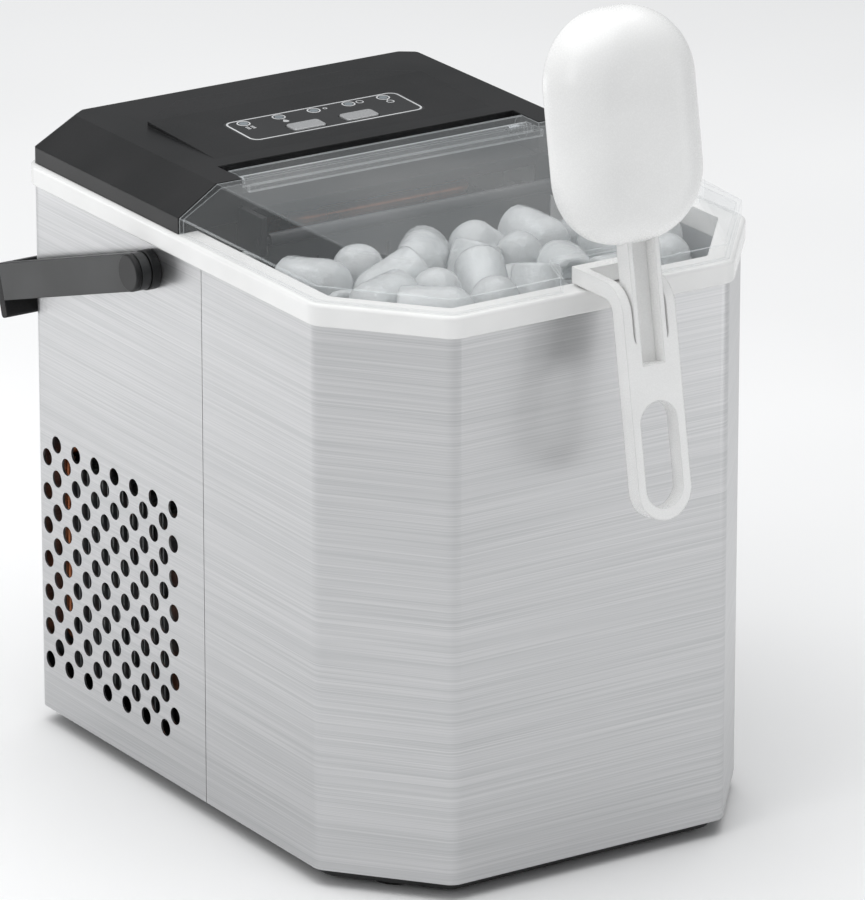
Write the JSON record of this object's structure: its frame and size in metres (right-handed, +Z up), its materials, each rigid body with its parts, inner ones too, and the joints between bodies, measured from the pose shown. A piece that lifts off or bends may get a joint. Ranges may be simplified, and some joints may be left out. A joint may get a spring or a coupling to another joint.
{
  "type": "ice maker",
  "caption": "Countertop bullet-ice maker: stainless tub with cut corners, black hipped cover with keypad, clear hinged lid, ice basket, tilting water tray, carry handle and scoop.",
  "frame": {"origin": "on the floor under the middle of the housing, at the plane of the rubber feet", "axes": "+X to the right seen from the front, +Y towards the rear, +Z up; the clear lid and the scoop face -Y"},
  "size_m": [0.247, 0.3537, 0.3935],
  "materials": {
    "stainless": "brushed stainless steel",
    "white_abs": "gloss white moulded ABS",
    "black_abs": "black moulded ABS",
    "clear_pc": "clear moulded polycarbonate",
    "handle_abs": "dark grey moulded ABS",
    "grip_rubber": "soft black grip",
    "scoop_pp": "gloss white polypropylene",
    "keypad_film": "printed keypad film",
    "silver_key": "silver painted keys",
    "lamp_lens": "diffusing lamp lens",
    "tank_abs": "light grey food-grade ABS",
    "foam": "expanded foam insulation",
    "basket_pp": "pale grey polypropylene",
    "dark_slats": "dark grey moulded flap",
    "nickel": "nickel-plated copper",
    "copper": "bare copper tube",
    "fin_aluminium": "fin stock",
    "steel_zinc": "zinc-plated sheet",
    "black_paint": "black stoved enamel",
    "black_pp": "black glass-filled plastic",
    "rubber": "moulded rubber",
    "silicone": "translucent silicone hose",
    "circuit_board": "green solder mask",
    "screw_steel": "zinc-plated screws"
  },
  "bodies": {
    "housing": {"base_pan": "black_pp", "board_bracket": "steel_zinc", "capillary_tube": "copper", "compressor": "black_paint", "compressor_mounts": "rubber", "condenser_fins": "fin_aluminium", "condenser_tube": "copper", "control_board": "circuit_board", "cord_gland": "rubber", "discharge_line": "copper", "drain_spout": "black_pp", "evaporator_bracket": "steel_zinc", "evaporator_fingers": "nickel", "evaporator_plate": "nickel", "evaporator_tube": "copper", "fan_motor": "steel_zinc", "fan_shroud": "black_pp", "fill_hose": "silicone", "filter_drier": "copper", "float_stem": "white_abs", "front_shell": "stainless", "handle_brackets": "steel_zinc", "handle_pivots": "black_abs", "hinge_pins": "screw_steel", "ice_chute": "tank_abs", "ice_sensors": "black_pp", "indicator_lenses": "lamp_lens", "inner_tank": "tank_abs", "keypad_overlay": "keypad_film", "liquid_line": "copper", "main_board": "circuit_board", "rear_shell": "stainless", "rim_band": "white_abs", "rubber_feet": "rubber", "shell_screws": "screw_steel", "suction_line": "copper", "tank_insulation": "foam", "terminal_cover": "black_pp", "top_cover": "black_abs", "tray_bearing": "white_abs", "tray_motor": "white_abs", "water_pump": "black_pp"},
    "lid": {"lid": "clear_pc"},
    "scoop": {"scoop": "scoop_pp"},
    "handle": {"carry_handle": "handle_abs", "handle_grip": "grip_rubber"},
    "basket": {"ice_basket": "basket_pp"},
    "curtain": {"curtain_flap": "dark_slats"},
    "tray": {"water_tray": "tank_abs"},
    "rake": {"ice_rake": "white_abs"},
    "fan": {"fan_rotor": "black_pp"},
    "power_key": {"power_button": "silver_key"},
    "select_key": {"select_button": "silver_key"},
    "float": {"level_float": "white_abs"},
    "plug": {"drain_plug": "rubber"}
  },
  "joints": [
    {"name": "lid_hinge", "type": "hinge", "parent": "housing", "child": "lid", "pos_m": [0, 0.028, 0.283], "axis": [-1, 0, 0], "range_deg": [0, 92]},
    {"name": "scoop_lift", "type": "slide", "parent": "lid", "child": "scoop", "axis": [0, 0, 1], "range_m": [0, 0.06]},
    {"name": "handle_swing", "type": "hinge", "parent": "housing", "child": "handle", "pos_m": [0, 0.038, 0.247], "axis": [1, 0, 0], "range_deg": [0, 95]},
    {"name": "basket_lift", "type": "slide", "parent": "housing", "child": "basket", "axis": [0, 0, 1], "range_m": [0, 0.01]},
    {"name": "curtain_swing", "type": "hinge", "parent": "housing", "child": "curtain", "pos_m": [0, 0, 0.264], "axis": [-1, 0, 0], "range_deg": [0, 25]},
    {"name": "tray_tilt", "type": "hinge", "parent": "housing", "child": "tray", "pos_m": [0, 0.04, 0.246], "axis": [1, 0, 0], "range_deg": [0, 55]},
    {"name": "rake_sweep", "type": "hinge", "parent": "housing", "child": "rake", "pos_m": [0, 0.04, 0.246], "axis": [-1, 0, 0], "range_deg": [0, 55]},
    {"name": "fan_spin", "type": "hinge", "parent": "housing", "child": "fan", "pos_m": [-0.07, 0.08, 0.08], "axis": [1, 0, 0], "continuous": true},
    {"name": "power_press", "type": "slide", "parent": "housing", "child": "power_key", "axis": [0, 0.0379, -0.9993], "range_m": [0, 0.0006], "stiffness_N_per_m": 800},
    {"name": "select_press", "type": "slide", "parent": "housing", "child": "select_key", "axis": [0, 0.0379, -0.9993], "range_m": [0, 0.0006], "stiffness_N_per_m": 800},
    {"name": "float_rise", "type": "slide", "parent": "housing", "child": "float", "axis": [0, 0, 1], "range_m": [0, 0.014]},
    {"name": "plug_pull", "type": "slide", "parent": "housing", "child": "plug", "axis": [1, 0, 0], "range_m": [0, 0.03]}
  ],
  "couplings": [
    {"joint": "rake_sweep", "follows": "tray_tilt", "ratio": 1}
  ]
}
